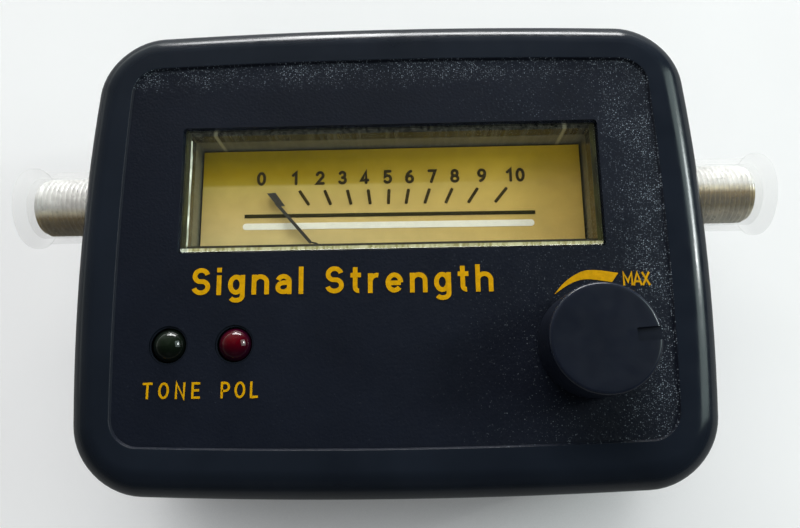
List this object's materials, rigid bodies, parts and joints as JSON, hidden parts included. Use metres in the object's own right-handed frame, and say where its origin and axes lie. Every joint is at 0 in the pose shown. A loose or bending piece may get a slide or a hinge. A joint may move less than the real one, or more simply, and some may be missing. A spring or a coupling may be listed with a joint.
{
  "type": "satellite signal meter",
  "caption": "Black hand-held signal meter with an analogue dial, indicator lights, a turning knob and capped coaxial sockets on both sides.",
  "frame": {"origin": "middle of the flat back of the rear cover", "axes": "+X along the sockets to the right, +Y towards the top of the face, +Z out of the face"},
  "size_m": [0.1214, 0.073, 0.0441],
  "materials": {
    "black_case": "moulded ABS, semi-gloss rim and textured panel",
    "knob": "matte moulded",
    "clear_cover": "clear moulded",
    "dial": "printed amber",
    "pointer": "painted dark grey",
    "nickel": "nickel plated",
    "clear_cap": "clear soft plastic",
    "led_green": "clear tinted",
    "led_red": "clear tinted",
    "insulator": "natural",
    "brass": "satin",
    "steel": "zinc plated",
    "coil": "enamelled wire on a light frame",
    "board": "solder resist",
    "inner_black": "moulded",
    "wire_red": "sleeve",
    "sleeve_blue": "shrunk sleeve",
    "ferrite": "ferrite",
    "resistor_tan": "lacquered"
  },
  "bodies": {
    "case": {"front_cover": "black_case", "rear_cover": "black_case", "case_screw_1": "steel", "case_screw_2": "steel", "case_screw_3": "steel", "case_screw_4": "steel", "meter_cover": "clear_cover", "meter_body": "inner_black", "dial_plate": "dial", "dial_screw_left": "brass", "dial_screw_right": "brass", "magnet_core": "steel", "yoke_ring": "steel", "bridge_front": "brass", "bridge_rear": "brass", "jewel_screw_front": "brass", "jewel_screw_rear": "brass", "hairspring_upper": "brass", "hairspring_lower": "brass", "meter_terminal_left": "brass", "meter_terminal_right": "brass", "meter_wire_left": "wire_red", "meter_wire_right": "inner_black", "circuit_board": "board", "board_screw_1": "steel", "board_screw_2": "steel", "board_screw_3": "steel", "board_screw_4": "steel", "socket_left": "nickel", "socket_right": "nickel", "socket_insulator_left": "insulator", "socket_insulator_right": "insulator", "socket_contact_left": "brass", "socket_contact_right": "brass", "led_green": "led_green", "led_red": "led_red", "potentiometer_housing": "steel", "comparator_chip": "inner_black", "voltage_regulator": "inner_black", "capacitor_large": "sleeve_blue", "capacitor_small": "sleeve_blue", "choke": "ferrite", "trimmer": "sleeve_blue", "transistor_left": "inner_black", "transistor_right": "inner_black", "resistor_1": "resistor_tan", "resistor_2": "resistor_tan"},
    "knob": {"knob": "knob", "potentiometer_shaft": "insulator", "potentiometer_wiper": "inner_black"},
    "pointer": {"pointer": "pointer", "moving_coil": "coil", "pivot_upper": "steel", "pivot_lower": "steel"},
    "cap_left": {"cap_left": "clear_cap"},
    "cap_right": {"cap_right": "clear_cap"}
  },
  "joints": [
    {"name": "knob_turn", "type": "hinge", "parent": "case", "child": "knob", "pos_m": [0.0281, -0.01525, 0.04], "axis": [0, 0, 1], "range_deg": [-64, 236]},
    {"name": "pointer_swing", "type": "hinge", "parent": "case", "child": "pointer", "pos_m": [0, -0.01245, 0.0294], "axis": [0, 0, 1], "range_deg": [-79, 0], "stiffness_Nm_per_rad": 0.00001},
    {"name": "cap_left_pull", "type": "slide", "parent": "case", "child": "cap_left", "axis": [-1, 0, 0], "range_m": [0, 0.02]},
    {"name": "cap_right_pull", "type": "slide", "parent": "case", "child": "cap_right", "axis": [1, 0, 0], "range_m": [0, 0.02]}
  ]
}
